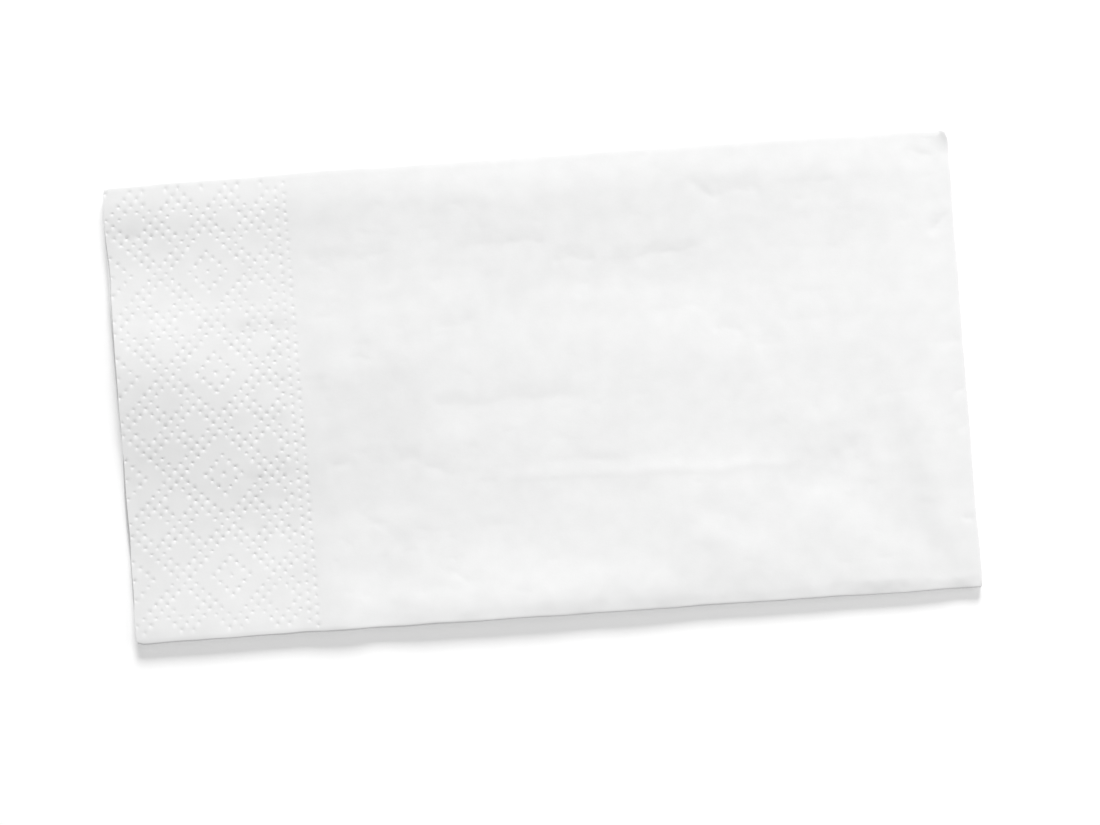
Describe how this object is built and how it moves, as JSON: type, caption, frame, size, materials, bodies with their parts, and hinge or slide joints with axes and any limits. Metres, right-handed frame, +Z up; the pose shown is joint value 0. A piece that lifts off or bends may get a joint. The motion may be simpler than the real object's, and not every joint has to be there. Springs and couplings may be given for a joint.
{
  "type": "paper napkin",
  "caption": "Soft white tissue napkin folded into a flat oblong, with an embossed diamond border at its open end.",
  "frame": {"origin": "middle of the underside, on the table that the napkin lies on", "axes": "+X along the length towards the half fold, +Y across the width, +Z up out of the embossed face"},
  "size_m": [0.2, 0.108, 0.003],
  "materials": {
    "tissue": "matte"
  },
  "bodies": {
    "root": {"napkin": "tissue"}
  },
  "joints": []
}
